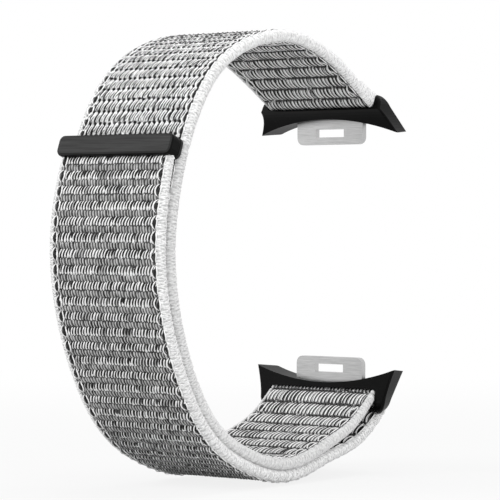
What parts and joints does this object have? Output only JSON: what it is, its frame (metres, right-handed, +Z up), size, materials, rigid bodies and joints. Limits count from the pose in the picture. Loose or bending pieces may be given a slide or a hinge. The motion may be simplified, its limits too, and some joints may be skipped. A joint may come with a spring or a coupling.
{
  "type": "watch strap",
  "caption": "Woven nylon watch strap: hook-and-loop tail folded through the lower of two black end adapters, clipped tail end, sprung bars and steel latch tongues.",
  "frame": {"origin": "middle of the watch's seat, halfway between the two adapters", "axes": "+X along the spring bars across the strap, +Z up from the six o'clock to the twelve o'clock end, -Y towards the wrist and the far side of the loop"},
  "size_m": [0.0292, 0.0654, 0.0746],
  "materials": {
    "nylon": "woven light grey and white nylon with black yarns",
    "hook_nylon": "hook fastener tape",
    "black_metal": "black satin coating",
    "black_plate": "black satin coating",
    "steel": "plain stainless steel"
  },
  "bodies": {
    "band": {"wrist_band": "nylon"},
    "tail": {"tail_flap": "nylon", "hook_patch": "hook_nylon", "tip_cover": "black_metal", "tip_clamp": "black_plate", "tip_screw_left": "steel", "tip_screw_right": "steel"},
    "upper_end": {"upper_adapter": "black_metal", "upper_latch": "steel", "upper_bar_tube": "steel", "upper_bar_spring": "steel"},
    "upper_left_tip": {"upper_bar_tip_left": "steel"},
    "upper_right_tip": {"upper_bar_tip_right": "steel"},
    "lower_end": {"lower_adapter": "black_metal", "lower_latch": "steel", "lower_bar_tube": "steel", "lower_bar_spring": "steel"},
    "lower_left_tip": {"lower_bar_tip_left": "steel"},
    "lower_right_tip": {"lower_bar_tip_right": "steel"}
  },
  "joints": [
    {"name": "tail_peel", "type": "hinge", "parent": "band", "child": "tail", "pos_m": [0, -0.05941, -0.01464], "axis": [1, 0, 0], "range_deg": [0, 100]},
    {"name": "upper_adapter_swing", "type": "hinge", "parent": "band", "child": "upper_end", "pos_m": [0, -0.0023, 0.0258], "axis": [1, 0, 0], "range_deg": [-5, 90]},
    {"name": "lower_adapter_swing", "type": "hinge", "parent": "band", "child": "lower_end", "pos_m": [0, -0.0016, -0.0265], "axis": [-1, 0, 0], "range_deg": [-10, 90]},
    {"name": "upper_left_tip_slide", "type": "slide", "parent": "upper_end", "child": "upper_left_tip", "axis": [1, 0, 0], "range_m": [0, 0.001], "stiffness_N_per_m": 300, "springref_m": -0.002, "deforming": ["upper_bar_spring"]},
    {"name": "upper_right_tip_slide", "type": "slide", "parent": "upper_end", "child": "upper_right_tip", "axis": [-1, 0, 0], "range_m": [0, 0.001], "stiffness_N_per_m": 300, "springref_m": -0.002, "deforming": ["upper_bar_spring"]},
    {"name": "lower_left_tip_slide", "type": "slide", "parent": "lower_end", "child": "lower_left_tip", "axis": [1, 0, 0], "range_m": [0, 0.001], "stiffness_N_per_m": 300, "springref_m": -0.002, "deforming": ["lower_bar_spring"]},
    {"name": "lower_right_tip_slide", "type": "slide", "parent": "lower_end", "child": "lower_right_tip", "axis": [-1, 0, 0], "range_m": [0, 0.001], "stiffness_N_per_m": 300, "springref_m": -0.002, "deforming": ["lower_bar_spring"]}
  ]
}
